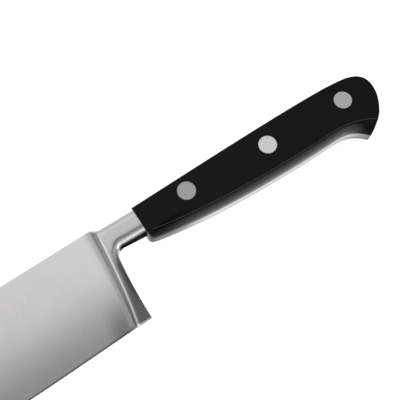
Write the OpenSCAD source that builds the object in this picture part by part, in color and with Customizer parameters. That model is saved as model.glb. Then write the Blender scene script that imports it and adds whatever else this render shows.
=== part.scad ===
// Forged chef's knife with a full bolster, a full tang, two handle scales and three cutler's rivets.
// The knife stands edge down: X runs from the point to the butt, Z points to the spine and
// Y goes through the thickness. The origin is on the line of the spine, in the middle of its
// thickness, where the blade runs into the bolster.

/* [Blade] */
// Length of the blade, from its point to the bolster
blade_length = 252; // [220:1:290]
// Height of the blade at the heel, from the spine to the edge
blade_height = 46.6; // [44:0.2:50]
// Thickness of the spine beside the bolster
spine_thickness = 3.8; // [3.4:0.1:4.2]
// Depth of the point below the line of the spine
point_depth = 22; // [18:1:26]
// Angle of each side of the cutting bevel to the middle of the blade
bevel_angle = 17; // [14:1:20]

/* [Bolster and neck] */
// Width across the ridge of the bolster at the spine
bolster_width = 12.2; // [11:0.2:13]
// Width across the ridge of the bolster at the heel
heel_width = 5.2; // [4.6:0.2:6]
// Length of the neck, from the spine of the blade to the handle scales
neck_length = 21; // [20:0.5:24]
// Width of the neck where it meets the handle scales
neck_width = 14.8; // [14:0.2:17]

/* [Handle] */
// Length of the handle scales, from the neck to the butt
scale_length = 124.4; // [118:0.2:130]
// Thickness of the handle over both scales
handle_thickness = 19; // [17.5:0.5:21]
// Thickness of the tang between the scales
tang_thickness = 3.8; // [3:0.1:4.2]
// Radius of the rounded upper and rear edges of the scales
edge_radius = 1.4; // [0.8:0.1:1.8]

/* [Rivets] */
// Diameter of the rivet heads
head_diameter = 8.5; // [8:0.1:9.5]
// Thickness of the rivet heads
head_thickness = 2.6; // [2:0.1:3]
// Outer diameter of the hollow rivet shank
tube_diameter = 5; // [4.6:0.1:5.4]
// Diameter of the solid rivet shank
pin_diameter = 3.2; // [2.8:0.1:3.4]
// Distance from the front rivet to the middle one
front_spacing = 42.1; // [40:0.1:43]
// Distance from the middle rivet to the rear one
rear_spacing = 41.4; // [40:0.1:43]

/* [Hidden] */
$fn = 48;

steel = [0.78, 0.78, 0.77];
black = [0.09, 0.09, 0.09];
rivet_metal = [0.7, 0.7, 0.69];

half_spine = spine_thickness / 2;
half_tang = tang_thickness / 2;
half_handle = handle_thickness / 2;
// Thinning of each side of the blade, per millimetre towards the point and towards the edge,
// which leaves half the given thickness behind the cutting bevel at the heel
behind_edge = 0.2;
point_taper = 0.0008;
edge_taper = (half_spine - behind_edge) / blade_height;
// Thinning of each side near the point, and half the thickness left there
tip_taper = 0.012;
half_tip = 0.3;
// Room around a rivet in its holes
clearance = 0.03;
front_rivet = neck_length + 24.15;
rivet_x = [front_rivet, front_rivet + front_spacing, front_rivet + front_spacing + rear_spacing];
rivet_z = [-9.86, -11.74, -12.82];
// How far the shank of the stud reaches into the hollow shank
pin_reach = half_handle - head_thickness + 4;

function mix(a, b, t) = a + (b - a) * t;
function reversed(list) = [for (i = [len(list) - 1 : -1 : 0]) list[i]];
function bezier(p, steps) = [for (i = [0 : steps]) let (t = i / steps, u = 1 - t)
    u * u * u * p[0] + 3 * u * u * t * p[1] + 3 * u * t * t * p[2] + t * t * t * p[3]];
function but_last(list) = [for (i = [0 : len(list) - 2]) list[i]];

// A solid skinned over loops of equal length, which turn by the right-hand rule about the way
// they advance. The first point of a loop lies across from its last one, the second from the
// last but one, and so on, so that each end is closed by a strip of flat quads.
module skin(loops) {
    m = len(loops[0]);
    last = (len(loops) - 1) * m;
    sides = [for (i = [0 : m : last - m], j = [0 : m - 1]) let (k = (j + 1) % m)
        [i + k, i + j, i + m + j, i + m + k]];
    first_end = [for (k = [0 : m / 2 - 2]) [k, k + 1, m - 2 - k, m - 1 - k]];
    last_end = [for (k = [0 : m / 2 - 2])
        [last + m - 1 - k, last + m - 2 - k, last + k + 1, last + k]];
    polyhedron([for (loop = loops) each loop], concat(sides, first_end, last_end), convexity = 6);
}

// ---- Blade ----

// Depth of the spine and of the cutting edge below the line of the spine, where t runs from
// the bolster (0) to the point (1)
function spine_depth(t) = t < 0.3 ? 0 : point_depth * pow((t - 0.3) / 0.7, 2.2);
function edge_depth(t) = blade_height + 5 * t + (point_depth - blade_height - 5) * pow(t, 3);

// Side view of the blade, which runs a little way into the bolster
module blade_outline() {
    steps = 36;
    run_in = 1;
    spine = [for (i = [0 : steps]) [-blade_length * i / steps, -spine_depth(i / steps)]];
    edge = [for (i = [0 : steps]) [-blade_length * i / steps, -edge_depth(i / steps)]];
    polygon(concat(spine, reversed(but_last(edge)), [[run_in, -blade_height], [run_in, -run_in]]));
}

// Everything on the +Y side of a plane that passes through y = -half at x = 0, z = 0, and nears
// the middle by along for each millimetre of -X and by down for each millimetre of -Z
module inside_of(half, along, down) {
    turn = -atan(along);
    translate([0, -half, 0])
        rotate([atan(down * cos(turn)), 0, turn])
            translate([-400, 0, -200])
                cube([500, 60, 400]);
}

module both_sides(half, along, down) {
    intersection() {
        inside_of(half, along, down);
        mirror([0, 1, 0]) inside_of(half, along, down);
    }
}

// A long body with a V-shaped underside whose bottom line is the cutting edge
module edge_envelope() {
    steps = 36;
    reach = 3;
    rise = reach / tan(bevel_angle);
    eaves = 10;
    skin([for (i = [0 : steps])
        let (t = mix(1.01, -0.01, i / steps), x = -blade_length * t, z = -edge_depth(t))
        [[x, 0, z], [x, reach, z + rise], [x, reach, eaves],
         [x, 0, 2 * eaves], [x, -reach, eaves], [x, -reach, z + rise]]]);
}

module blade() {
    intersection() {
        rotate([90, 0, 0])
            linear_extrude(height = 20, center = true)
                blade_outline();
        both_sides(half_spine, point_taper, edge_taper);
        both_sides(half_tip + tip_taper * blade_length, tip_taper, 0);
        edge_envelope();
    }
}

// ---- Bolster and neck ----

// Place of the bolster's ridge and rear edge, where f runs from the spine (0) to the heel (1)
function ridge_x(f) = 2.9 - 4.2 * f - 2.2 * pow(f, 3);
function ridge_y(f) = mix(bolster_width, heel_width, pow(f, 1.3)) / 2;
function rear_x(f) = 3.4 + 5 * pow(1 - f, 2);
function blade_side(x, z) = half_spine + point_taper * x + edge_taper * z;
// Height of the top and the underside of the neck, where t runs from the bolster to the scales
function neck_top(t) = mix(-2, -2.8, t);
function neck_bottom(t) = mix(-13.3, -14.5, t);

// Length of the hollow that rises from the blade's side to the ridge, and how late it rises
function hollow_length(f) = mix(7.4, 3.2, f);
hollow_power = 2.6;

// Half of a level cut through the bolster: the hollow from the blade to the ridge, then the
// rear facet and the rounded rear edge. inset draws the whole cut inwards.
function bolster_half(z, inset) =
    let (f = -z / blade_height,
        ridge = [ridge_x(f), ridge_y(f) - inset],
        start = ridge.x - hollow_length(f),
        rear = rear_x(f) - inset,
        foot = max(0.1, blade_side(start, z) - 0.15 - inset),
        rear_half = mix(2.4, 1, f))
    concat(
        [for (i = [0 : 6]) let (s = i / 6)
            [mix(start, ridge.x, s), mix(foot, ridge.y, pow(s, hollow_power))]],
        [for (g = [0.35, 0.7])
            [mix(ridge.x, rear, g), mix(ridge.y, rear_half, pow(g, mix(2.3, 1.1, f)))]],
        [[rear - 0.25, rear_half],
         [rear, rear_half * 0.6]]);

function bolster_loop(z, inset = 0) = let (half = bolster_half(z, inset))
    concat([for (p = half) [p.x, -p.y, z]], [for (p = reversed(half)) [p.x, p.y, z]]);

// The bolster from its slightly broken heel up to where it sinks into the neck
module bolster() {
    steps = 14;
    heel_break = 0.5;
    neck_level = -10.4;
    skin(concat(
        [bolster_loop(-blade_height, heel_break)],
        [for (i = [0 : steps])
            bolster_loop(mix(-blade_height + heel_break, neck_level, i / steps))],
        [bolster_loop(neck_level + 2, 0.7)]));
}

// A cut across the neck: an upright box with flat oval corners, wider below than above
function neck_loop(x, half_width, top, bottom) =
    let (upper = [min(4, 0.8 * half_width), 3.4], lower = [min(4.4, 0.9 * half_width), 2.2],
        side = concat(
            [for (a = [90 : -22.5 : 0])
                [half_width - upper.x + upper.x * cos(a), top - upper.y + upper.y * sin(a)]],
            [for (a = [0 : -18 : -90])
                [half_width - lower.x + lower.x * cos(a), bottom + lower.y + lower.y * sin(a)]]))
    concat([for (p = side) [x, -p.x, p.y]], [for (p = reversed(side)) [x, p.x, p.y]]);

// The neck swells out of the blade in the same hollow as the bolster, level with the spine.
// A shoulder behind the ridge falls to its own top, and it then widens to the scales.
module neck() {
    ridge = ridge_x(0.1);
    half_ridge = ridge_y(0.15);
    hollow = hollow_length(0.1);
    foot = blade_side(ridge - hollow, neck_bottom(0)) - 0.15;
    shoulder = -0.7;
    skin(concat(
        [for (i = [0 : 6]) let (s = i / 7)
            neck_loop(ridge + hollow * (s - 1), mix(foot, half_ridge, pow(s, hollow_power)),
                0, neck_bottom(0))],
        [for (i = [0 : 8]) let (t = pow(i / 8, 1.2))
            neck_loop(mix(ridge, neck_length, t), mix(half_ridge, neck_width / 2, pow(t, 1.6)),
                i == 0 ? shoulder : neck_top(t), neck_bottom(t))]));
}

// The web that rounds the corner under the neck, at the top of the bolster's rear edge
module neck_corner() {
    radius = 3;
    x = rear_x(0.36) - 0.5;
    z = -0.36 * blade_height + 0.4;
    difference() {
        translate([x - 2, -2, z])
            cube([radius + 2, 4, radius + 2]);
        translate([x + radius, 0, z])
            rotate([90, 0, 0])
                cylinder(r = radius, h = 10, center = true);
    }
}

// ---- Handle outline, seen from the side ----

function along(f) = neck_length + f * scale_length;

// The butt's rear edge, from its rearmost point down to the tip of the hook
rear_steps = 48;
rear_edge = bezier([[along(1), -14], [along(0.996), -21.8],
    [along(0.958), -26.5], [along(0.893), -32.4]], rear_steps);

// Upper edge and butt of the handle, from the neck to the rearmost point
function handle_top() =
    let (nape = [along(0.844), -2.8])
    concat(
        but_last(bezier([[along(0), -2.8], [along(0.28), -2.45], [along(0.62), -1.55], nape], 16)),
        bezier([nape, [along(0.891), -3.7], [along(1.006), -2.6], [along(1), -14]], 15));

// Lower edge and hooked end of the handle, from the neck to just under the rearmost point.
// rise lifts the lower edge, and the tip of the hook then moves up along the rear edge.
function handle_bottom(rise = 0) =
    let (up = [0, rise],
        chin = [along(0.03), -19.2] + up,
        wrist = [along(0.764), -25.6] + up,
        end = round(rear_steps - rise * 3.6),
        hook = rear_edge[end],
        hook_lead = hook + [-0.032 * scale_length, 4.5 - 0.6 * rise])
    concat(
        but_last(bezier([[along(0), -15.6], [along(0), -18] + up / 2,
            [along(0.012), -18.8] + up, chin], 4)),
        but_last(bezier([chin, [along(0.235), -24.7] + up, [along(0.553), -26] + up, wrist], 13)),
        but_last(bezier([wrist, [along(0.836), -25.4] + up, hook_lead, hook], 6)),
        [for (i = [0 : 8]) rear_edge[round(end * (9 - i) / 9)]]);

// A cylinder on the axis of rivet i, with its middle at y = middle
module on_rivet(i, radius, length, middle) {
    translate([rivet_x[i], middle, rivet_z[i]])
        rotate([90, 0, 0])
            cylinder(r = radius, h = length, center = true);
}

module tang() {
    difference() {
        rotate([90, 0, 0])
            linear_extrude(height = tang_thickness, center = true)
                polygon(concat([[neck_length - 3, -4], [neck_length - 3, -12], [neck_length, -12]],
                    handle_bottom(), reversed(handle_top()), [[neck_length, -4]]));
        for (i = [0 : 2])
            on_rivet(i, tube_diameter / 2 + clearance, handle_thickness, 0);
    }
}

module blade_forging() {
    color(steel) {
        blade();
        bolster();
        neck();
        neck_corner();
        tang();
    }
}

// ---- Scales ----

// Loop of a scale at s of the way from the tang (0) to its outer face (1). The underside bends
// up towards a ridge, and the upper edge and the butt are rounded over.
function scale_loop(s) =
    let (y = mix(half_tang, half_handle, s),
        over = max(0, y - half_handle + edge_radius),
        round_off = edge_radius - sqrt(edge_radius * edge_radius - over * over) + 0.3 * s * s,
        bend = (1 - sqrt(1 - pow(0.93 * s, 2))) / (1 - sqrt(1 - pow(0.93, 2))),
        top = handle_top(),
        bottom = handle_bottom(2.6 * bend),
        loop = concat(top, reversed(bottom)),
        m = len(loop))
    [for (k = [0 : m - 1])
        let (before = loop[max(0, k - 1)], after = loop[min(m - 1, k + 1)],
            run = (after - before) / norm(after - before),
            behind = k > len(top) + 8 ? 0 : k > len(top) + 4 ? (len(top) + 8 - k) / 4 : 1,
            p = loop[k] + round_off * behind * [k == 0 ? 0 : run.y, -run.x])
        [p.x, y, p.y]];

module scale_body() {
    skin([for (s = [0, 0.2, 0.4, 0.6, 0.74, 0.82, 0.87, 0.92, 0.96, 0.985, 1]) scale_loop(s)]);
}

module bored_scale() {
    difference() {
        scale_body();
        for (i = [0 : 2]) {
            on_rivet(i, tube_diameter / 2 + clearance, 3 * handle_thickness, 0);
            on_rivet(i, head_diameter / 2 + clearance, 2 * head_thickness, half_handle);
        }
    }
}

module left_scale() {
    color(black) mirror([0, 1, 0]) bored_scale();
}

module right_scale() {
    color(black) bored_scale();
}

// ---- Rivets ----

// Solid half of rivet i: its head lies in the left scale and its shank is pressed into the socket
module rivet_stud(i) {
    color(rivet_metal) {
        on_rivet(i, head_diameter / 2, head_thickness, head_thickness / 2 - half_handle);
        on_rivet(i, pin_diameter / 2, pin_reach, pin_reach / 2 + head_thickness - half_handle);
    }
}

// Hollow half of rivet i: its head lies in the right scale and its shank passes through the tang
module rivet_socket(i) {
    inner_face = half_handle - head_thickness;
    tube_length = 2 * inner_face - clearance;
    color(rivet_metal)
        difference() {
            union() {
                on_rivet(i, head_diameter / 2, head_thickness, inner_face + head_thickness / 2);
                on_rivet(i, tube_diameter / 2, tube_length, inner_face - tube_length / 2);
            }
            on_rivet(i, pin_diameter / 2, 2 * inner_face, 0);
        }
}

blade_forging();
left_scale();
right_scale();
rivet_stud(0);  // front_rivet_stud
rivet_socket(0);  // front_rivet_socket
rivet_stud(1);  // middle_rivet_stud
rivet_socket(1);  // middle_rivet_socket
rivet_stud(2);  // rear_rivet_stud
rivet_socket(2);  // rear_rivet_socket
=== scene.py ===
"""A forged chef's knife: one steel forging, two handle scales and three cutler's rivets.

Lengths in the shape functions are millimetres, as in the CAD. X runs from the point to the butt,
Z to the spine and Y through the thickness; the origin is where the spine meets the bolster.
"""

import math

import bmesh
import bpy
import numpy as np
from mathutils import Matrix, Vector


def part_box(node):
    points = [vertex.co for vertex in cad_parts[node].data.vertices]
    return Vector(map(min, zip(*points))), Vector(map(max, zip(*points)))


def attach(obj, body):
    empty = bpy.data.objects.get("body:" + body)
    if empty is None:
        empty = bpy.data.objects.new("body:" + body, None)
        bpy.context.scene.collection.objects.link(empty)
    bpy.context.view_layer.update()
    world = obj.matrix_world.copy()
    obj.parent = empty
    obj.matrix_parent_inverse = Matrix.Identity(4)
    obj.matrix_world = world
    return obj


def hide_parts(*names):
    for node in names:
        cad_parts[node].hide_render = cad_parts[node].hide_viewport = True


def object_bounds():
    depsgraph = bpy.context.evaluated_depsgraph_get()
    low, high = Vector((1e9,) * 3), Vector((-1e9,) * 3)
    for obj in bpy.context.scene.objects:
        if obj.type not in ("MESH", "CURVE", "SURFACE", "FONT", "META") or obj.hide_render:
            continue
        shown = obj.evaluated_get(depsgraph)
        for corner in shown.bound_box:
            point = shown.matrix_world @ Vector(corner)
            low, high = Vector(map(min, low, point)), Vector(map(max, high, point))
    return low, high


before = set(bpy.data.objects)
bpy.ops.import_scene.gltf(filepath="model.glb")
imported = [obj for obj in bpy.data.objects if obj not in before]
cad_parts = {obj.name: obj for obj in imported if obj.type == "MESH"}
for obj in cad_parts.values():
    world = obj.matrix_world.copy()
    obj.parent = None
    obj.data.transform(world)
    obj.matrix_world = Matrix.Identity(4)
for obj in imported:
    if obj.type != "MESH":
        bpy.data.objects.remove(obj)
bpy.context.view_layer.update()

MM = 0.001


def box_mm(node):
    """Low and high corner of a CAD body."""
    low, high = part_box(node)
    return np.array(low) / MM, np.array(high) / MM


scale_low, scale_high = box_mm("right_scale")

# ---- Sizes of the blade ----

BLADE_LENGTH = -box_mm("blade_forging")[0][0]
BLADE_HEIGHT = 46.6
# Depth of the point below the line of the spine, and where and how the spine drops to it
POINT_DEPTH = 22.0
DROP_START = 0.3
DROP_POWER = 2.2
# How far the edge would sink below the heel over the whole length without its curve
EDGE_BELLY = 5.0
HALF_SPINE = 1.9
HALF_TIP = 0.3
BEHIND_EDGE = 0.2
# Thinning per millimetre of length, of height and near the tip
POINT_TAPER = 0.0008
EDGE_TAPER = (HALF_SPINE - BEHIND_EDGE) / BLADE_HEIGHT
TIP_TAPER = 0.012
BEVEL_SLOPE = math.tan(math.radians(17))
SPINE_ROUND = 0.28

# ---- Sizes of the bolster and the neck ----

# The ridge across the side: its x at the top, its lean and its curve towards the heel
RIDGE_TOP = 2.9
RIDGE_LEAN = 4.2
RIDGE_CURVE = 2.2
RIDGE_LAND = 0.6
BOLSTER_WIDTH = 12.2
HEEL_WIDTH = 5.2
HOLLOW_TOP = 7.4
HOLLOW_HEEL = 3.2
HOLLOW_POWER = 3.3
# The rear edge: its x at the heel and how far it sweeps back towards the neck
REAR_HEEL = 3.4
REAR_SWEEP = 5
# Half widths at the rear edge and steepness of the facet, each at the top and at the heel
FACET_HALF = (2.5, 1.1)
FACET_POWER = (2.3, 1.1)

NECK_LENGTH = scale_low[0]
NECK_START = 1.5
HALF_NECK = 7.4
NECK_SWELL = 1.6
NECK_TOP_DEPTH = 3.4
NECK_TOP_WIDTH = 4.0
# The corner under the neck: where the rear edge ends, where the underside begins, its roundness
CORNER_LOW = -17.6
CORNER_END = 9.6
CORNER_PULL = 0.62
# Share of the corner that the sections from the ridge take up
CORNER_SPLIT = 0.42
# Height and width of the chamfer along the bottom of the bolster
HEEL_CHAMFER = (0.6, 0.45)

# ---- Rows and columns of the forging's surface ----

TOP_ROWS = 7
FACE_ROWS = 44
BEVEL_SHARES = (0.1, 0.5, 1)
ROW_COUNT = TOP_ROWS + 1 + FACE_ROWS + len(BEVEL_SHARES)
CORNER_SECTIONS = 14
NECK_SECTIONS = 12

# ---- Sizes of the handle and its rivets ----

SCALE_LENGTH = scale_high[0] - scale_low[0]
HALF_HANDLE = scale_high[1]
HALF_TANG = scale_low[1]
EDGE_RADIUS = 1.4
# Slight doming of the scale's sides, and how far the underside rises to the outer face
DOME = 0.3
UNDERSIDE_RISE = 2.6
# Share of a quarter round that the underside turns through
UNDERSIDE_TURN = 0.93
# Points of the rear edge that one millimetre of rise takes away
RISE_POINTS = 7.2

RIVETS = ("front_rivet", "middle_rivet", "rear_rivet")
# Each rivet's colour is scaled by its own share: painted light and shade, as the three rivets of
# one metal catch the light differently.
RIVET_PAINTED_LIGHT = {"front_rivet": 0.54, "middle_rivet": 0.98, "rear_rivet": 0.72}
HEAD_THICKNESS = 2.6
HEAD_CHAMFER = 0.08
GROOVE_DEPTH = 0.05
TUBE_RADIUS = 2.5
PIN_RADIUS = 1.6
PIN_REACH = 4.0
PIN_CHAMFER = 0.4
CLEARANCE = 0.03
PIN_CLEARANCE = 0.01


# ---- Small helpers ----


def mix(a, b, t):
    return a + (b - a) * t


def ease(t):
    t = np.clip(t, 0, 1)
    return t * t * (3 - 2 * t)


def soft_min(a, b, width):
    return 0.5 * (a + b - np.sqrt((a - b) ** 2 + width * width))


def oval(u):
    """Height of a quarter round at u of its width: 0 at the rim, 1 where it meets the face."""
    u = np.clip(u, 0, 1)
    return np.sqrt(1 - (1 - u) ** 2)


def quarter_steps(count):
    """Shares from 0 to 1 that lie close together at 0, as points of a quarter round do."""
    return 1 - np.cos(np.linspace(0, math.pi / 2, count + 1))


def bezier(points, steps):
    t = np.linspace(0, 1, steps + 1)[:, None]
    p = [np.array(q, float) for q in points]
    u = 1 - t
    return u**3 * p[0] + 3 * u * u * t * p[1] + 3 * u * t * t * p[2] + t**3 * p[3]


def make_object(name, vertices, faces):
    """A mesh object from millimetre vertices, with coincident points joined."""
    mesh = bpy.data.meshes.new(name)
    mesh.from_pydata([tuple(v * MM) for v in vertices], [], [list(f) for f in faces])
    bm = bmesh.new()
    bm.from_mesh(mesh)
    bmesh.ops.remove_doubles(bm, verts=bm.verts, dist=2e-6)
    bmesh.ops.dissolve_degenerate(bm, edges=bm.edges, dist=1e-7)
    bmesh.ops.recalc_face_normals(bm, faces=bm.faces)
    bm.to_mesh(mesh)
    bm.free()
    obj = bpy.data.objects.new(name, mesh)
    bpy.context.scene.collection.objects.link(obj)
    return obj


def shade(obj, degrees):
    """Smooth shading that keeps edges sharper than the given angle."""
    mesh = obj.data
    mesh.shade_smooth()
    bm = bmesh.new()
    bm.from_mesh(mesh)
    limit = math.radians(degrees)
    for edge in bm.edges:
        edge.smooth = len(edge.link_faces) == 2 and edge.calc_face_angle(0) < limit
    bm.to_mesh(mesh)
    bm.free()


def boolean(obj, tool, operation):
    """Joins tool to obj, or cuts it away, and removes the tool."""
    modifier = obj.modifiers.new("cut", "BOOLEAN")
    modifier.operation = operation
    modifier.solver = "EXACT"
    modifier.object = tool
    evaluated = obj.evaluated_get(bpy.context.evaluated_depsgraph_get())
    mesh = bpy.data.meshes.new_from_object(evaluated)
    obj.modifiers.remove(modifier)
    obj.data = mesh
    bpy.data.objects.remove(tool)


# ---- Lines of the forging's side view; t runs from the heel to the point, f down the blade ----


def spine_depth(t):
    return POINT_DEPTH * (np.clip(t - DROP_START, 0, 1) / (1 - DROP_START)) ** DROP_POWER


def edge_depth(t):
    t = np.clip(t, 0, 1)
    return BLADE_HEIGHT + EDGE_BELLY * t + (POINT_DEPTH - BLADE_HEIGHT - EDGE_BELLY) * t**3


def ridge_x(f):
    return RIDGE_TOP - RIDGE_LEAN * f - RIDGE_CURVE * f**3


def ridge_y(f):
    return mix(BOLSTER_WIDTH, HEEL_WIDTH, np.clip(f, 0, 1) ** 1.3) / 2


def rear_x(f):
    return REAR_HEEL + REAR_SWEEP * (1 - f) ** 2


def hollow_length(f):
    return mix(HOLLOW_TOP, HOLLOW_HEEL, f)


def neck_share(x):
    """0 where the neck begins, 1 where it enters the handle."""
    return np.clip((x - NECK_START) / (NECK_LENGTH - NECK_START), 0, 1)


def past_bolster(x):
    """0 on the blade, 1 on the neck."""
    return ease((x + 2.0) / 7)


def neck_top(x):
    """Height of the spine's line, the shoulder behind the ridge, and the top of the neck."""
    shoulder = 2.05 * ease((x - 0.2) / 3.3)
    return -shoulder - 0.8 * neck_share(x)


def neck_bottom(x):
    return mix(-13.3, -14.5, neck_share(x))


def top_line(x):
    return np.where(x < 0, -spine_depth(-x / BLADE_LENGTH), neck_top(x))


# ---- Half the forging's thickness at each point of its side view ----


def blade_side(x, z):
    """The ground side: a long taper to the edge, thinner again towards the point."""
    main = HALF_SPINE + POINT_TAPER * x + EDGE_TAPER * z
    tip = HALF_TIP + TIP_TAPER * (BLADE_LENGTH + x)
    return soft_min(main, tip, 0.12)


def bevel_side(x, z):
    return np.maximum(0, (z + edge_depth(-x / BLADE_LENGTH)) * BEVEL_SLOPE)


def front_side(x, z):
    """The blade, and the hollow that lifts its side to the ridge of the bolster."""
    f = -z / BLADE_HEIGHT
    blade = np.minimum(blade_side(x, z), bevel_side(x, z))
    s = np.clip((x - ridge_x(f)) / hollow_length(f) + 1, 0, 1.2)
    return mix(blade, ridge_y(f), s**HOLLOW_POWER)


def rear_side(x, z):
    """Everything behind the ridge: a narrow flat land, then the facet of the bolster, which
    falls ever steeper to its rear edge and runs into the side of the neck."""
    f = -z / BLADE_HEIGHT
    land = ridge_x(f) + RIDGE_LAND
    g = np.clip((x - land) / (rear_x(f) - land), 0, 1)
    power = mix(*FACET_POWER, np.clip(f, 0, 1))
    facet = mix(ridge_y(f), mix(*FACET_HALF, f), g**power)
    t = np.clip((x - ridge_x(f)) / (NECK_LENGTH - ridge_x(f)), 0, 1)
    neck = mix(ridge_y(f), HALF_NECK, t**NECK_SWELL)
    return mix(facet, neck, ease((z + 21) / 8.5))


def side(x, z):
    """The whole side, with its front and its rear meeting in the land of the ridge."""
    return np.maximum(0, soft_min(front_side(x, z), rear_side(x, z), 0.05))


def top_round(x, z, half):
    """Rounds the side over to the spine, which is nearly sharp, or to the top of the neck."""
    behind = past_bolster(x)
    depth = mix(SPINE_ROUND, NECK_TOP_DEPTH, behind)
    width = mix(SPINE_ROUND, NECK_TOP_WIDTH, behind)
    return half - width * (1 - oval((top_line(x) - z) / depth))


def heel_round(z, half):
    """The small bright chamfer along the bottom of the bolster."""
    height, width = HEEL_CHAMFER
    above = z + BLADE_HEIGHT
    return np.where(above < height, half - width * (1 - above / height) ** 1.5, half)


# ---- The forging in front of the ridge: a grid of rows and columns ----


def row_heights(x):
    """Heights of all rows of the blade at each x, dense at the spine and on the bevel."""
    top = top_line(x)
    bottom = -edge_depth(-x / BLADE_LENGTH)
    bevel = bottom + 1.5
    for _ in range(12):
        bevel = bottom + blade_side(x, bevel) / BEVEL_SLOPE
    bevel = np.minimum(bevel, mix(bottom, top, 0.9))
    rounded = top - mix(0.4, NECK_TOP_DEPTH, past_bolster(x))
    rounded = np.maximum(rounded, mix(bevel, top, 0.85))
    rows = [mix(top, rounded, q) for q in quarter_steps(TOP_ROWS)]
    rows += [mix(rounded, bevel, (i + 1) / FACE_ROWS) for i in range(FACE_ROWS)]
    rows += [mix(bevel, bottom, share) for share in BEVEL_SHARES]
    return np.array(rows)


def settled_column(x, place_x, rounds):
    """One column of points: a row's height depends on its x, and its x on its height."""
    rows = np.arange(ROW_COUNT)
    x = np.full(ROW_COUNT, x)
    for _ in range(rounds):
        x = place_x(-row_heights(x)[rows, rows] / BLADE_HEIGHT)
    return x, row_heights(x)[rows, rows]


def front_grid(blade_columns=90, hollow_columns=30):
    """Side view points of everything in front of the ridge, as rows from spine to edge."""

    def on_blade(reach):
        return lambda f: mix(ridge_x(f) - hollow_length(f), -BLADE_LENGTH, reach)

    def on_hollow(share):
        return lambda f: ridge_x(f) - hollow_length(f) * (1 - share)

    reaches = 1 - np.linspace(0, 1, blade_columns + 1)[:-1] ** 1.15
    shares = 1 - np.linspace(1, 0, hollow_columns + 1) ** 1.7
    columns = [settled_column(-BLADE_LENGTH * reach, on_blade(reach), 4) for reach in reaches]
    columns += [settled_column(0.0, on_hollow(share), 6) for share in shares]
    return np.array([c[0] for c in columns]), np.array([c[1] for c in columns])


# ---- The forging behind the ridge: sections that fan round the corner under the neck ----


def corner_arc():
    """Side view of the rounded corner between the bolster's rear edge and the neck."""
    f = np.linspace(1, -CORNER_LOW / BLADE_HEIGHT, 60)[-2:]
    before, start = np.stack([rear_x(f), -f * BLADE_HEIGHT], 1)
    end = np.array([CORNER_END, neck_bottom(CORNER_END)])
    lean = start - before
    corner = np.array([start[0] + lean[0] / lean[1] * (end[1] - start[1]), end[1]])
    pulled = [mix(start, corner, CORNER_PULL), mix(end, corner, CORNER_PULL)]
    return bezier([start, *pulled, end], 40)[1:]


def along_path(points, share):
    """The point at a share of a polyline's length."""
    steps = np.linalg.norm(np.diff(points, axis=0), axis=1)
    length = np.concatenate([[0], np.cumsum(steps)])
    s = share * length[-1]
    return [np.interp(s, length, points[:, 0]), np.interp(s, length, points[:, 1])]


def section_ends(ridge):
    """Outer and inner end of each section: from the ridge and the top of the neck to the
    bolster's rear edge, the corner and the underside of the neck."""
    arc = corner_arc()
    outer, inner = list(ridge), []
    for x, z in ridge:
        if z <= CORNER_LOW:
            inner.append([rear_x(-z / BLADE_HEIGHT), z])
        else:
            share = (z - CORNER_LOW) / (ridge[-1][1] - CORNER_LOW)
            inner.append(along_path(arc, CORNER_SPLIT * share))
    for i in range(1, CORNER_SECTIONS + 1):
        share = i / CORNER_SECTIONS
        x = mix(ridge[-1][0], arc[-1][0], share**1.1)
        outer.append([x, float(neck_top(x))])
        inner.append(along_path(arc, mix(CORNER_SPLIT, 1, share)))
    for x in np.linspace(arc[-1][0], NECK_LENGTH, NECK_SECTIONS + 1)[1:]:
        outer.append([x, float(neck_top(x))])
        inner.append([x, float(neck_bottom(x))])
    return np.array(outer), np.array(inner)


def under_round(half, reach, depth, bend, start):
    """Rounds a section over at its inner end, from reach 0 to depth. Under the neck, which
    bend tells, the flat is wider and the side leans in towards it."""
    f = np.clip(-start[1] / BLADE_HEIGHT, 0, 1)
    half_neck = mix(5.9, HALF_NECK, neck_share(start[0]) ** NECK_SWELL)
    flat = mix(mix(1.5, 0.8, f), half_neck - 4.6, bend)
    lean = depth + 1.5 - reach
    half = half - 0.15 * bend * (lean + np.sqrt(lean * lean + 0.3))
    return flat + (half - flat) * oval(reach / depth)


def rear_sections(outer, inner, ridge_count, rim=10, middle=22, top=8):
    """Points and half thicknesses of the sections, dense where they round over."""
    sections = []
    for k, (end, start) in enumerate(zip(outer, inner)):
        span = np.linalg.norm(end - start)
        bend = float(ease((start[1] + 19.5) / 5.5))
        depth = mix(0.35, 1.7, bend)
        behind = max(0, k - ridge_count + 1) / CORNER_SECTIONS
        cap = mix(1.0, NECK_TOP_DEPTH, min(1, behind))
        near = depth * quarter_steps(rim)
        far = span - cap * quarter_steps(top)[::-1]
        between = np.linspace(near[-1], far[0], middle + 1)[1:-1]
        reach = np.concatenate([near, between, far])
        x = mix(start[0], end[0], reach / span)
        z = mix(start[1], end[1], reach / span)
        half = under_round(top_round(x, z, side(x, z)), reach, depth, bend, start)
        sections.append((x, z, heel_round(z, half)))
    return [np.array(values) for values in zip(*sections)]


# ---- The forging as one closed body ----


def shell(name, patches):
    """Closes patches of (x, z, half thickness) into one body, mirrored about the middle plane."""
    vertices, faces = [], []
    for x, z, half in patches:
        rows, columns = x.shape
        for sign in (-1, 1):
            base = len(vertices)
            vertices += list(np.stack([x, sign * half, z], -1).reshape(-1, 3))
            for i in range(rows - 1):
                for j in range(columns - 1):
                    a = base + i * columns + j
                    faces.append((a, a + 1, a + columns + 1, a + columns))
    obj = make_object(name, vertices, faces)
    bridge_halves(obj)
    return obj


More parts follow.
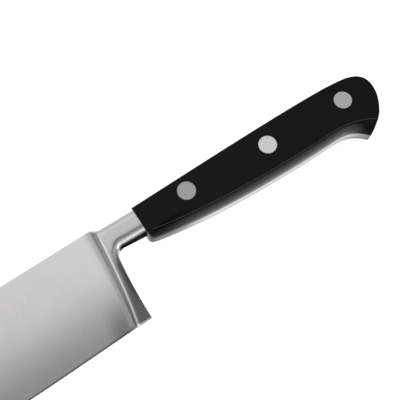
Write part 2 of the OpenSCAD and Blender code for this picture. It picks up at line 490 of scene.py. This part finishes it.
def bridge_halves(obj):
    """Joins the open rims of the two halves with strips across the thickness."""
    bm = bmesh.new()
    bm.from_mesh(obj.data)
    rim = [e for e in bm.edges if len(e.link_faces) == 1]
    corners = {v for e in rim for v in e.verts}

    def key(v):
        return round(v.co.x * 2e5), round(v.co.z * 2e5)

    right = {key(v): v for v in corners if v.co.y > 0}
    for edge in rim:
        a, b = edge.verts
        if a.co.y + b.co.y >= 0:
            continue
        loop = [a, b, right.get(key(b), b), right.get(key(a), a)]
        loop = [v for k, v in enumerate(loop) if v not in loop[:k]]
        if len(loop) > 2:
            bm.faces.new(loop)
    bmesh.ops.recalc_face_normals(bm, faces=bm.faces)
    bm.to_mesh(obj.data)
    bm.free()


def forged_body():
    x, z = front_grid()
    half = np.maximum(0, top_round(x, z, side(x, z)))
    heel = ease((x - ridge_x(-z / BLADE_HEIGHT) + 2) / 2)
    half = mix(half, heel_round(z, half), heel)
    ridge = np.stack([x[-1], z[-1]], 1)[::-1]
    outer, inner = section_ends(ridge)
    rear = rear_sections(outer, inner, len(ridge))
    rear[2][: len(ridge), -1] = half[-1][::-1]
    return shell("forged_blade", [(x, z, half), rear])


# ---- Handle outline, seen from the side: points as a share of the length and a height ----


def at(f, z):
    return np.array([NECK_LENGTH + f * SCALE_LENGTH, z])


def handle_top():
    nape = at(0.844, -2.8)
    back = bezier([at(0, -2.8), at(0.28, -2.45), at(0.62, -1.55), nape], 40)
    butt = bezier([nape, at(0.891, -3.7), at(1.006, -2.6), at(1, -14)], 40)
    return np.concatenate([back[:-1], butt])


def path_points(path, indices):
    """Points at whole or broken indices of a path."""
    steps = np.arange(len(path))
    return np.stack([np.interp(indices, steps, path[:, k]) for k in (0, 1)], -1)


def handle_bottom(rise=0.0):
    """From the neck along the belly to the hook, and up the rear edge to the rearmost point."""
    up = np.array([0, rise])
    chin = at(0.03, -19.2) + up
    wrist = at(0.764, -25.6) + up
    rear = bezier([at(1, -14), at(0.996, -21.8), at(0.958, -26.5), at(0.893, -32.4)], 96)
    end = len(rear) - 1 - rise * RISE_POINTS
    tip = path_points(rear, end)
    lead = tip + np.array([-0.032 * SCALE_LENGTH, 4.5 - 0.6 * rise])
    front = bezier([at(0, -15.6), at(0, -18) + up / 2, at(0.012, -18.8) + up, chin], 10)
    belly = bezier([chin, at(0.235, -24.7) + up, at(0.553, -26) + up, wrist], 40)
    hook = bezier([wrist, at(0.836, -25.4) + up, lead, tip], 20)
    back = path_points(rear, np.linspace(end, 0, 29))
    return np.concatenate([front[:-1], belly[:-1], hook[:-1], back])


def handle_loop(rise=0.0):
    """Closed outline of the handle: over the top, down the butt, then back along the belly."""
    return np.concatenate([handle_top()[:-1], handle_bottom(rise)[::-1]])


def loft(name, loops):
    """A closed body over loops of equal length, with flat ends."""
    count = len(loops[0])
    vertices = [p for loop in loops for p in loop]
    faces = []
    for i in range(len(loops) - 1):
        for j in range(count):
            a, b = i * count + j, i * count + (j + 1) % count
            faces.append((a, b, b + count, a + count))
    faces.append(tuple(range(count)))
    faces.append(tuple(range((len(loops) - 1) * count, len(loops) * count)))
    return make_object(name, vertices, faces)


def at_thickness(loop, y):
    return [np.array([p[0], y, p[1]]) for p in loop]


def tang_plate():
    """The full tang, which shows as a bright line all round between the scales. Its front end
    runs 3 mm into the neck, where it can't be seen."""
    hidden = np.array([[NECK_LENGTH, -14], [NECK_LENGTH - 3, -12], [NECK_LENGTH - 3, -4]])
    loop = np.concatenate([handle_loop(), hidden])
    return loft("tang", [at_thickness(loop, -HALF_TANG), at_thickness(loop, HALF_TANG)])


# ---- Scales ----


def scale_loop(s):
    """Loop of a scale at s of the way from the tang to its outer face. The underside rises as
    it turns outwards, and the upper and rear edges are rounded over."""
    y = mix(HALF_TANG, HALF_HANDLE, s)
    over = max(0.0, y - HALF_HANDLE + EDGE_RADIUS)
    fall = EDGE_RADIUS - math.sqrt(max(0, EDGE_RADIUS**2 - over * over)) + DOME * s * s
    turned_by = 1 - math.sqrt(1 - (UNDERSIDE_TURN * s) ** 2)
    loop = handle_loop(UNDERSIDE_RISE * (turned_by / (1 - math.sqrt(1 - UNDERSIDE_TURN**2))))
    before = np.roll(loop, 1, axis=0)
    after = np.roll(loop, -1, axis=0)
    before[0], after[-1] = loop[0], loop[-1]
    run = after - before
    run /= np.linalg.norm(run, axis=1)[:, None]
    inward = np.stack([run[:, 1], -run[:, 0]], 1)
    inward[0, 0] = 0
    past_butt = np.arange(len(loop)) - len(handle_top()) - 10
    rounded = 1 - np.clip(past_butt / 12.0, 0, 1)
    return at_thickness(loop + fall * rounded[:, None] * inward, y)


def inset_loop(loop, inset):
    """The loop drawn inwards in its own plane."""
    points = np.array(loop)
    run = np.roll(points, -1, axis=0) - np.roll(points, 1, axis=0)
    run /= np.linalg.norm(run, axis=1)[:, None]
    inward = np.stack([run[:, 2], np.zeros(len(run)), -run[:, 0]], 1)
    return list(points + inset * inward)


def scale_body(name, sign):
    shares = list(np.linspace(0, 0.7, 15)) + [0.76, 0.8, 0.83, 0.86, 0.89, 0.915, 0.94, 0.96]
    shares += [0.975, 0.987, 0.995, 1]
    loops = [scale_loop(s) for s in shares]
    loops.append(inset_loop(loops[-1], 0.3))
    return loft(name, [[p * np.array([1, sign, 1]) for p in loop] for loop in loops])


def mark_ridge_highlight(obj):
    """Stores which points lie on the crisp ridge along the underside, which gets a painted
    highlight.
    """
    ridge = handle_bottom(UNDERSIDE_RISE)[8:-26]
    mesh = obj.data
    points = np.array([v.co for v in mesh.vertices]) / MM
    flat = points[:, [0, 2]]
    away = np.full(len(points), np.inf)
    for start, step in zip(ridge[:-1], np.diff(ridge, axis=0)):
        t = np.clip((flat - start) @ step / (step @ step), 0, 1)
        away = np.minimum(away, np.linalg.norm(flat - start - t[:, None] * step, axis=1))
    outer = np.abs(points[:, 1]) > HALF_HANDLE - 0.07
    ridge_highlight = np.where(outer & (away < 0.12), 1.0, 0.0)
    mesh.attributes.new("ridge_highlight", "FLOAT", "POINT").data.foreach_set("value", ridge_highlight)


# ---- Rivets ----


def rivet_place(node):
    """X and Z of a rivet's axis, and the radius of its head."""
    low, high = box_mm(node)
    return (low[0] + high[0]) / 2, (low[2] + high[2]) / 2, (high[2] - low[2]) / 2


def turned(name, place, profile, steps=72):
    """A body turned about a rivet's axis, from a closed profile of (radius, y) points."""
    x, z = place
    vertices, faces = [], []
    count = len(profile)
    for i in range(steps):
        a = 2 * math.pi * i / steps
        vertices += [np.array([x + r * math.cos(a), y, z + r * math.sin(a)]) for r, y in profile]
    for i in range(steps):
        for j in range(count):
            a, b = i * count + j, i * count + (j + 1) % count
            c, d = ((i + 1) % steps) * count + j, ((i + 1) % steps) * count + (j + 1) % count
            faces.append((a, b, d, c))
    return make_object(name, vertices, faces)


def head_profile(radius, sign):
    """The head's outer face with its fine rim: a flat face, a shallow groove and a chamfer."""
    face = sign * HALF_HANDLE
    groove = face - sign * GROOVE_DEPTH
    return [(0, face), (radius - 0.42, face), (radius - 0.36, groove), (radius - 0.28, groove),
            (radius - 0.22, face), (radius - HEAD_CHAMFER, face),
            (radius, face - sign * HEAD_CHAMFER)]


def pin_half(name, node):
    x, z, radius = rivet_place(node)
    inner = HEAD_THICKNESS - HALF_HANDLE
    profile = head_profile(radius, -1)
    profile += [(radius, inner), (PIN_RADIUS, inner), (PIN_RADIUS, PIN_REACH - PIN_CHAMFER),
                (PIN_RADIUS - PIN_CHAMFER, PIN_REACH), (0, PIN_REACH)]
    return turned(name, (x, z), profile)


def tube_half(name, node):
    x, z, radius = rivet_place(node)
    inner = HALF_HANDLE - HEAD_THICKNESS
    end = CLEARANCE - inner
    hole = PIN_RADIUS + PIN_CLEARANCE
    profile = head_profile(radius, 1)
    profile += [(radius, inner), (TUBE_RADIUS, inner), (TUBE_RADIUS, end),
                (hole, end), (hole, inner), (0, inner)]
    return turned(name, (x, z), profile)


def bore(obj, rivet, profile_of):
    """Cuts the hole for a rivet, with a profile made from the radius of its head."""
    x, z, radius = rivet_place(rivet + "_stud")
    boolean(obj, turned("bore", (x, z), profile_of(radius), 96), "DIFFERENCE")


def bore_scale(obj, sign):
    """Stepped holes: narrow for the shank of each rivet and wide for its head."""
    narrow = TUBE_RADIUS + CLEARANCE
    step = sign * (HALF_HANDLE - HEAD_THICKNESS)
    out = sign * (HALF_HANDLE + 1)

    def profile_of(radius):
        wide = radius + CLEARANCE
        return [(0, sign), (narrow, sign), (narrow, step), (wide, step), (wide, out), (0, out)]

    for rivet in RIVETS:
        bore(obj, rivet, profile_of)


def bore_tang(obj):
    narrow = TUBE_RADIUS + CLEARANCE
    end = HALF_TANG + 1
    for rivet in RIVETS:
        bore(obj, rivet, lambda radius: [(0, -end), (narrow, -end), (narrow, end), (0, end)])


# ---- Materials ----


class Nodes:
    """Short forms for building the node tree of a material or a world."""

    def __init__(self, owner):
        owner.use_nodes = True
        self.tree = owner.node_tree
        self.tree.nodes.clear()

    def add(self, kind, **values):
        node = self.tree.nodes.new(kind)
        for key, value in values.items():
            setattr(node, key, value)
        return node

    def feed(self, item, target):
        """Links an output to an input, or sets the input to a number or a colour."""
        if isinstance(item, bpy.types.NodeSocket):
            self.tree.links.new(item, target)
        elif target.type == "RGBA":
            target.default_value = (*item, 1)
        else:
            target.default_value = item

    def value(self, operation, *items):
        node = self.add("ShaderNodeMath", operation=operation)
        for item, target in zip(items, node.inputs):
            self.feed(item, target)
        return node.outputs[0]

    def plus(self, a, b):
        return self.value("ADD", a, b)

    def times(self, a, b):
        return self.value("MULTIPLY", a, b)

    def ramp(self, source, low, high, start=0.0, end=1.0):
        """Maps low..high of source smoothly onto start..end."""
        node = self.add("ShaderNodeMapRange", interpolation_type="SMOOTHSTEP")
        for i, item in enumerate((source, low, high, start, end)):
            self.feed(item, node.inputs[i])
        return node.outputs[0]

    def place(self):
        """The point in millimetres, as a vector and as X, Y and Z."""
        scaled = self.add("ShaderNodeVectorMath", operation="SCALE")
        self.feed(self.add("ShaderNodeTexCoord").outputs["Object"], scaled.inputs[0])
        self.feed(1 / MM, scaled.inputs["Scale"])
        split = self.add("ShaderNodeSeparateXYZ")
        self.feed(scaled.outputs[0], split.inputs[0])
        return scaled.outputs[0], split.outputs

    def combine(self, x, y, z):
        node = self.add("ShaderNodeCombineXYZ")
        for item, target in zip((x, y, z), node.inputs):
            self.feed(item, target)
        return node.outputs[0]

    def noise(self, vector, scale, detail=3.0, roughness=0.5):
        node = self.add("ShaderNodeTexNoise")
        self.feed(vector, node.inputs["Vector"])
        self.feed(scale, node.inputs["Scale"])
        self.feed(detail, node.inputs["Detail"])
        self.feed(roughness, node.inputs["Roughness"])
        return node.outputs["Fac"]

    def fade(self, share, first, second):
        """From one number to another."""
        node = self.add("ShaderNodeMix", data_type="FLOAT")
        for item, target in ((share, 0), (first, 2), (second, 3)):
            self.feed(item, node.inputs[target])
        return node.outputs[0]

    def blend(self, share, first, second):
        """From one colour to another."""
        node = self.add("ShaderNodeMix", data_type="RGBA")
        self.feed(share, node.inputs["Factor"])
        colours = [s for s in node.inputs if s.type == "RGBA"]
        for item, target in zip((first, second), colours):
            self.feed(item, target)
        return [s for s in node.outputs if s.type == "RGBA"][0]

    def bump(self, height, strength, distance_mm):
        node = self.add("ShaderNodeBump")
        self.feed(strength, node.inputs["Strength"])
        self.feed(distance_mm * MM, node.inputs["Distance"])
        self.feed(height, node.inputs["Height"])
        return node.outputs[0]

    def output(self, surface, kind="ShaderNodeOutputMaterial"):
        self.feed(surface, self.add(kind).inputs["Surface"])

    def shader(self, **inputs):
        shader = self.add("ShaderNodeBsdfPrincipled")
        for name, item in inputs.items():
            self.feed(item, shader.inputs[name.replace("_", " ")])
        self.output(shader.outputs[0])


def new_material(name):
    material = bpy.data.materials.new(name)
    return material, Nodes(material)


def paint(obj, material):
    obj.data.materials.clear()
    obj.data.materials.append(material)


# ---- Steel of the forging; f runs down the blade, across is the distance from its lean ----


def steel_masks(n, f, across, point):
    """Masks of the ground blade, the ridge's crest, which gets a painted highlight, and the facet
    and the bevel, which get painted shade.
    """
    ground = n.ramp(across, -1.5, 2.6, 1.0, 0.0)
    middle = RIDGE_TOP + RIDGE_LAND / 2
    crest_highlight = n.value("ABSOLUTE", n.value("SUBTRACT", across, middle))
    crest_highlight = n.times(n.ramp(crest_highlight, 0.5, 0.3), n.ramp(f, 0.05, 0.25))
    facet = n.times(n.ramp(across, 3.3, 4.6), n.ramp(f, 0.3, 0.8))
    t = n.value("DIVIDE", point[0], -BLADE_LENGTH)
    cube = n.value("POWER", n.value("MAXIMUM", t, 0.0), 3.0)
    curve = n.times(cube, BLADE_HEIGHT + EDGE_BELLY - POINT_DEPTH)
    edge = n.value("SUBTRACT", n.plus(n.times(t, EDGE_BELLY), BLADE_HEIGHT), curve)
    bevel = n.times(n.ramp(n.plus(point[2], edge), 0.8, 0.6), ground)
    return ground, crest_highlight, facet, bevel


def shadow_mask(n, point):
    """Where the steel faces the dark: under the neck and the tang's front, and at the heel."""
    normal = n.add("ShaderNodeSeparateXYZ")
    n.feed(n.add("ShaderNodeNewGeometry").outputs["Normal"], normal.inputs[0])
    down = normal.outputs[2]
    under = n.times(n.ramp(down, -0.7, -0.99), n.ramp(point[0], 4.0, 8.0))
    corner = n.times(n.ramp(point[2], -14.0, -15.0), n.ramp(point[0], 20.6, 21.0))
    under = n.value("MAXIMUM", under, corner)
    under = n.times(under, n.ramp(point[0], 52.0, 27.0, 0.12, 1.0))
    under = n.times(under, n.ramp(point[0], 20.8, 21.2, 1.0, 0.65))
    heel = n.times(n.ramp(down, -0.8, -0.97), n.ramp(point[2], -44.0, -46.0))
    return n.value("MAXIMUM", under, n.times(heel, 0.45))


def steel_colour(n, f, across, tone, masks):
    """Satin grey on the blade, with painted shade darkening it towards its edge, and a plainer
    grey behind it.
    """
    ground, crest_highlight, facet, bevel = masks
    bare = n.blend(tone, (0.54, 0.535, 0.527), (0.72, 0.715, 0.707))
    satin = n.blend(tone, (0.62, 0.614, 0.604), (0.86, 0.855, 0.845))
    # Painted shade: the satin darkens towards the edge, more so near the heel.
    low = n.times(n.ramp(across, -12.0, -4.0), n.ramp(f, 0.55, 0.95, 0.0, 0.2))
    low = n.plus(low, n.ramp(f, 0.35, 1.0, 0.0, 0.45))
    satin = n.blend(low, satin, (0.0, 0.0, 0.0))
    colour = n.blend(ground, bare, satin)
    # Painted shade: the bolster's rear facet is darkened nearly to black.
    colour = n.blend(n.times(facet, 0.66), colour, (0.02, 0.02, 0.02))
    # Painted shade: the edge bevel is darkened to a dark line.
    colour = n.blend(n.times(bevel, 0.6), colour, (0.05, 0.05, 0.05))
    # Painted highlight: a pale line along the ridge's crest.
    return n.blend(crest_highlight, colour, (0.86, 0.86, 0.855))


def steel_material():
    """Satin ground blade with fine lines across it, and a brighter, finer bolster and neck."""
    material, n = new_material("blade_steel")
    vector, point = n.place()
    f = n.value("DIVIDE", point[2], -BLADE_HEIGHT)
    cube = n.value("POWER", n.value("MAXIMUM", f, 0.0), 3.0)
    across = n.plus(point[0], n.plus(n.times(f, RIDGE_LEAN), n.times(cube, RIDGE_CURVE)))
    masks = steel_masks(n, f, across, point)
    ground = masks[0]
    stretched = n.combine(n.times(across, 9.0), 0.0, n.times(point[2], 0.12))
    lines = n.times(n.noise(stretched, 1.0, 4.0, 0.65), ground)
    stretched = n.combine(n.times(across, 0.9), 0.0, n.times(point[2], 0.03))
    broad = n.noise(stretched, 1.0, 3.0, 0.6)
    fine = n.noise(vector, 6.0, 4.0, 0.6)
    cloud = n.noise(vector, 0.06, 3.0, 0.5)
    tone = n.plus(n.times(lines, 0.5), n.times(broad, 0.35))
    tone = n.plus(tone, n.times(cloud, 0.25))
    shadow = shadow_mask(n, point)
    colour = steel_colour(n, f, across, tone, masks)
    polished_rough = n.plus(n.times(fine, 0.05), 0.25)
    ground_rough = n.plus(n.times(lines, 0.14), 0.29)
    n.shader(
        Base_Color=n.blend(shadow, colour, (0.06, 0.059, 0.057)),
        Specular_Tint=n.blend(shadow, (1.0, 1.0, 1.0), (0.15, 0.15, 0.15)),
        Metallic=1.0,
        Roughness=n.fade(ground, polished_rough, ground_rough),
        Anisotropic=n.times(ground, 0.6),
        Tangent=n.combine(1.0, 0.0, 0.0),
        Normal=n.bump(n.plus(lines, n.times(fine, 0.04)), 0.25, 0.012),
    )
    return material


def plastic_material():
    """Black handle plastic: a low sheen, a faint moulding grain and a painted highlight along the
    underside's ridge.
    """
    material, n = new_material("handle_plastic")
    vector, point = n.place()
    grain = n.noise(vector, 3.2, 5.0, 0.62)
    cloud = n.noise(vector, 0.12, 2.0, 0.5)
    stretched = n.combine(n.times(point[0], 0.25), point[1], n.times(point[2], 2.2))
    scuff = n.noise(stretched, 1.4, 4.0, 0.7)
    # Painted highlight: the underside's ridge is paler, broken up by the scuff noise; it is also
    # a little rougher.
    highlight_points = n.add("ShaderNodeAttribute", attribute_name="ridge_highlight").outputs["Fac"]
    painted_ridge_highlight = n.times(highlight_points, n.ramp(scuff, 0.3, 0.6, 0.55, 1.0))
    black = n.blend(n.times(cloud, 0.6), (0.002, 0.002, 0.0022), (0.004, 0.004, 0.0042))
    grazing = n.add("ShaderNodeLayerWeight")
    n.feed(0.5, grazing.inputs["Blend"])
    sheen = n.ramp(grazing.outputs["Facing"], 0.5, 0.85, 0.1, 0.6)
    # Near the neck, below the top of the belly, the sheen is turned down: painted shade on the
    # handle's front lower corner, under the neck.
    above_belly = n.ramp(point[2], -17.5, -15.5)
    past_front = n.ramp(point[0], 24.0, 46.0, 0.16, 1.0)
    rough = n.plus(n.plus(n.times(grain, 0.10), 0.19), n.times(painted_ridge_highlight, 0.06))
    height = n.plus(n.times(grain, 0.6), n.times(scuff, 0.2))
    n.shader(
        Base_Color=n.blend(painted_ridge_highlight, black, (0.06, 0.06, 0.061)),
        Roughness=rough,
        Specular_IOR_Level=n.times(sheen, n.value("MAXIMUM", above_belly, past_front)),
        Normal=n.bump(height, 0.06, 0.02),
    )
    return material


def rivet_material(name, place, painted_light):
    """Satin rivet metal, finished with fine rings about the rivet's own axis."""
    material, n = new_material(name)
    point = n.place()[1]
    x = n.value("SUBTRACT", point[0], float(place[0]))
    z = n.value("SUBTRACT", point[2], float(place[1]))
    radius = n.value("SQRT", n.plus(n.times(x, x), n.times(z, z)))
    rings = n.noise(n.combine(n.times(radius, 7.0), 0.0, 0.0), 1.0, 3.0, 0.6)
    stretched = n.combine(n.times(point[0], 0.4), point[1], n.times(point[2], 5.0))
    grain = n.noise(stretched, 2.0, 4.0, 0.6)
    tone = n.plus(n.times(rings, 0.4), n.times(grain, 0.6))
    # Painted light and shade: the colour is scaled by this rivet's own brightness.
    dull = tuple(painted_light * c for c in (0.60, 0.595, 0.585))
    bright = tuple(painted_light * c for c in (0.78, 0.775, 0.765))
    n.shader(
        Base_Color=n.blend(tone, dull, bright),
        Metallic=1.0,
        Roughness=n.plus(n.times(tone, 0.16), 0.26),
        Normal=n.bump(tone, 0.2, 0.01),
    )
    return material


# ---- The knife ----


def finish_piece(obj, node, material, sharp_degrees):
    """Shades and paints a piece, and fixes it to the part in place of its CAD body."""
    shade(obj, sharp_degrees)
    paint(obj, material)
    obj.modifiers.new("even_faces", "WEIGHTED_NORMAL").keep_sharp = True
    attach(obj, "root")
    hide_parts(node)


def build_forging():
    body = forged_body()
    boolean(body, tang_plate(), "UNION")
    bore_tang(body)
    finish_piece(body, "blade_forging", steel_material(), 24)


def build_scale(name, node, sign, material):
    body = scale_body(name, sign)
    bore_scale(body, sign)
    mark_ridge_highlight(body)
    finish_piece(body, node, material, 30)


def build_rivet(rivet):
    x, z, _ = rivet_place(rivet + "_stud")
    material = rivet_material(rivet + "_metal", (x, z), RIVET_PAINTED_LIGHT[rivet])
    pin = pin_half(rivet + "_pin_half", rivet + "_stud")
    tube = tube_half(rivet + "_tube_half", rivet + "_socket")
    finish_piece(pin, rivet + "_stud", material, 35)
    finish_piece(tube, rivet + "_socket", material, 35)


def build_knife():
    build_forging()
    plastic = plastic_material()
    build_scale("scale_left", "left_scale", -1, plastic)
    build_scale("scale_right", "right_scale", 1, plastic)
    for rivet in RIVETS:
        build_rivet(rivet)


# ---- Stage: floor, light and camera, in metres ----

# Soft panels of the studio: direction, full out to, gone by (degrees), strength
STUDIO = [
    ((0.0, -0.93, 0.34), 15, 38, 0.58),
    ((-0.5, -0.86, 0.05), 8, 32, -0.32),
    ((0.08, -0.97, -0.22), 9, 24, -0.42),
    ((0.93, 0.15, 0.23), 22, 46, -0.32),
    ((-0.97, -0.02, 0.22), 14, 30, -0.22),
    ((-0.74, -0.62, 0.26), 12, 30, 0.26),
    ((0, 0.1, 1), 30, 62, 0.32),
    ((0, 0.97, 0.25), 20, 50, 0.35),
    ((0, -0.7, -0.72), 13, 27, 0.64),
    ((0.17, 0.35, -0.92), 16, 38, 2.4),
    ((0.15, 0.93, -0.33), 12, 26, 0.7),
]
AMBIENT = 0.5
BACKGROUND = 1.05

# Lamps aimed at the origin: name, place, diameter, power
LAMPS = [
    ("key", (-0.5, -0.9, 0.9), 0.9, 5),
    ("fill", (0.9, -0.5, 0.4), 0.8, 2),
    ("rim", (0.2, 0.9, 0.7), 0.8, 3),
]

SHEET_REACH = 6
SHEET_GAP = 0.0002
SHEET_GREY = 0.45
SHEET_GLOW = 0.87

LENS = 58.5
CAMERA_PLACE = (-0.00109, -0.27935, -0.08225)
CAMERA_FORWARD = (0.1730, 0.9570, 0.2326)
CAMERA_RIGHT = (0.8323, -0.0158, -0.5541)


def world_light():
    """A white background for the camera, and a soft studio around it for everything else."""
    world = bpy.data.worlds.new("studio")
    bpy.context.scene.world = world
    n = Nodes(world)
    ray = n.add("ShaderNodeTexCoord").outputs["Generated"]
    total = AMBIENT
    for direction, inner, outer, strength in STUDIO:
        dot = n.add("ShaderNodeVectorMath", operation="DOT_PRODUCT")
        n.feed(ray, dot.inputs[0])
        n.feed(Vector(direction).normalized(), dot.inputs[1])
        limits = [math.cos(math.radians(angle)) for angle in (outer, inner)]
        total = n.plus(n.times(n.ramp(dot.outputs["Value"], *limits), strength), total)
    camera_ray = n.add("ShaderNodeLightPath").outputs["Is Camera Ray"]
    background = n.add("ShaderNodeBackground")
    n.feed((1, 1, 1), background.inputs["Color"])
    light = n.fade(camera_ray, n.value("MAXIMUM", total, 0.0), BACKGROUND)
    n.feed(light, background.inputs["Strength"])
    n.output(background.outputs[0], "ShaderNodeOutputWorld")


def area_light(name, place, size, power):
    data = bpy.data.lights.new(name, "AREA")
    data.shape = "DISK"
    data.size = size
    data.energy = power
    light = bpy.data.objects.new(name, data)
    light.visible_glossy = False
    light.location = place
    light.rotation_mode = "QUATERNION"
    light.rotation_quaternion = (-Vector(place)).to_track_quat("-Z", "Y")
    bpy.context.scene.collection.objects.link(light)


def one_sided(name):
    """A pale matt surface that is seen from its front only."""
    material, n = new_material(name)
    matt = n.add("ShaderNodeBsdfDiffuse")
    n.feed((SHEET_GREY,) * 3, matt.inputs["Color"])
    glow = n.add("ShaderNodeEmission")
    n.feed(SHEET_GLOW, glow.inputs["Strength"])
    lit = n.add("ShaderNodeAddShader")
    n.feed(matt.outputs[0], lit.inputs[0])
    n.feed(glow.outputs[0], lit.inputs[1])
    mixed = n.add("ShaderNodeMixShader")
    n.feed(n.add("ShaderNodeNewGeometry").outputs["Backfacing"], mixed.inputs[0])
    n.feed(lit.outputs[0], mixed.inputs[1])
    n.feed(n.add("ShaderNodeBsdfTransparent").outputs[0], mixed.inputs[2])
    n.output(mixed.outputs[0])
    return material


def stage_sheet(name, centre, across, up):
    """A large flat sheet; its front faces across x up. It casts nothing on the knife."""
    a, b, c = (Vector(v) for v in (across, up, centre))
    mesh = bpy.data.meshes.new(name)
    corners = [c - a - b, c + a - b, c + a + b, c - a + b]
    mesh.from_pydata([tuple(p) for p in corners], [], [(0, 1, 2, 3)])
    sheet = bpy.data.objects.new(name, mesh)
    bpy.context.scene.collection.objects.link(sheet)
    paint(sheet, one_sided(name))
    sheet.visible_glossy = False
    sheet.visible_diffuse = False
    sheet.visible_shadow = False


def build_stage():
    low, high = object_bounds()
    reach = SHEET_REACH
    stage_sheet("floor", (0, 0, low.z - SHEET_GAP), (reach, 0, 0), (0, reach, 0))
    stage_sheet("backdrop", (0, high.y + SHEET_GAP, 0), (reach, 0, 0), (0, 0, reach))
    world_light()
    for lamp in LAMPS:
        area_light(*lamp)


def build_camera():
    """The photograph's viewing angle: from the left and a little below, close to the handle."""
    data = bpy.data.cameras.new("camera")
    data.sensor_width = 36
    data.lens = LENS
    data.clip_start = 0.01
    data.clip_end = 50
    camera = bpy.data.objects.new("camera", data)
    forward = Vector(CAMERA_FORWARD).normalized()
    right = Vector(CAMERA_RIGHT)
    right = (right - forward * right.dot(forward)).normalized()
    up = right.cross(forward)
    turn = Matrix((right, up, -forward)).transposed().to_4x4()
    camera.matrix_world = Matrix.Translation(CAMERA_PLACE) @ turn
    bpy.context.scene.collection.objects.link(camera)
    bpy.context.scene.camera = camera


def colour_management():
    view = bpy.context.scene.view_settings
    view.view_transform = "Standard"
    view.look = "None"


build_knife()
build_stage()
build_camera()
colour_management()
